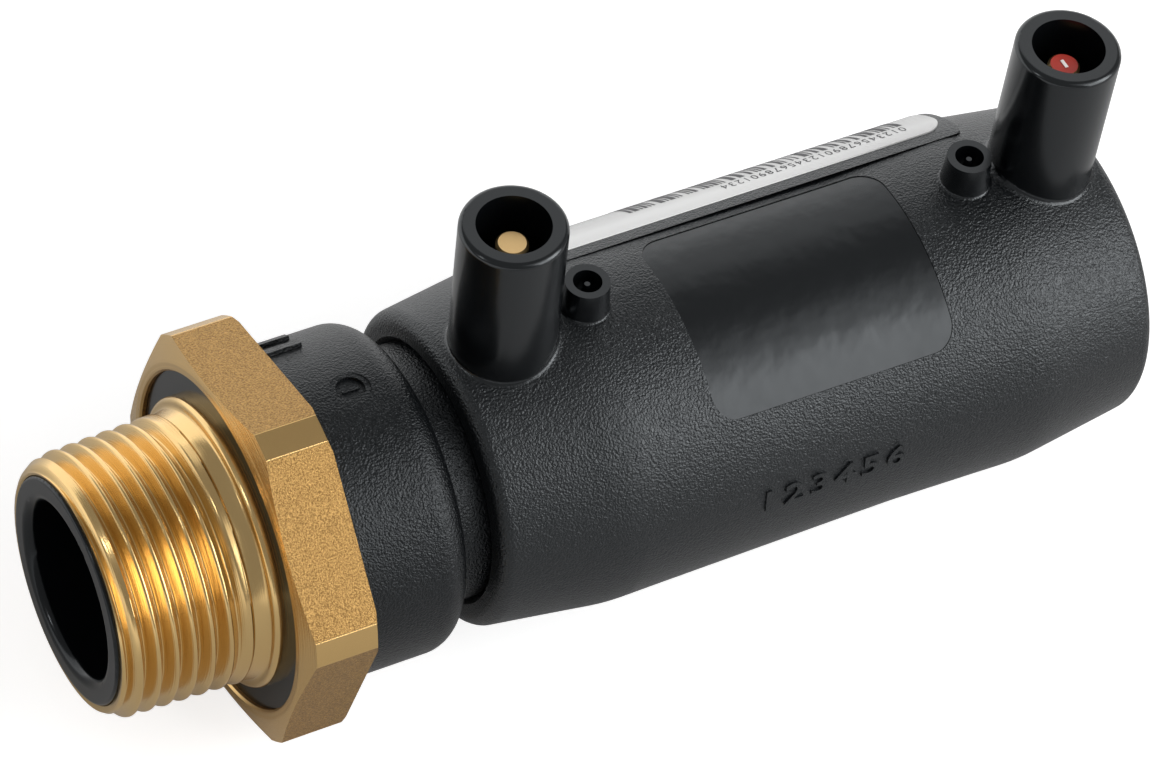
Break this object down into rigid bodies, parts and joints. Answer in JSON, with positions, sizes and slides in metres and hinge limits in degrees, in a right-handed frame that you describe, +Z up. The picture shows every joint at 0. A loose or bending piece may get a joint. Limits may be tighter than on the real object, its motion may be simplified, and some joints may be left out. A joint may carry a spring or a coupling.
{
  "type": "electrofusion transition coupler",
  "caption": "Pipe coupler that joins a plastic pipe to a threaded metal fitting: a welded socket with electric terminals at one end, a hexagon and a male taper thread at the other.",
  "frame": {"origin": "on the pipe axis, at the front face of the brass hexagon", "axes": "+X along the pipe axis from the thread to the pipe socket, +Z up along the terminals"},
  "size_m": [0.1389, 0.0502, 0.0662],
  "materials": {
    "coupler_pe": "spark-eroded moulding texture",
    "adapter_pe": "fine moulding texture",
    "brass_turned": "turned, bright",
    "brass_forged": "forged and blasted, turned front",
    "brass_pin": "turned",
    "coil_wire": "drawn resistance wire, copper coloured",
    "plug_red": "moulded",
    "tab_tinned": "tinned",
    "label_paper": "coated paper, printed",
    "seal_rubber": "matte"
  },
  "bodies": {
    "root": {"coupler_body": "coupler_pe", "heating_coil": "coil_wire", "terminal_pin": "brass_pin", "terminal_sleeve": "brass_pin", "resistor_plug": "plug_red", "resistor_tab": "tab_tinned", "label": "label_paper", "adapter_body": "adapter_pe", "threaded_insert": "brass_turned", "seal_ring": "seal_rubber", "hex_ring": "brass_forged"}
  },
  "joints": []
}
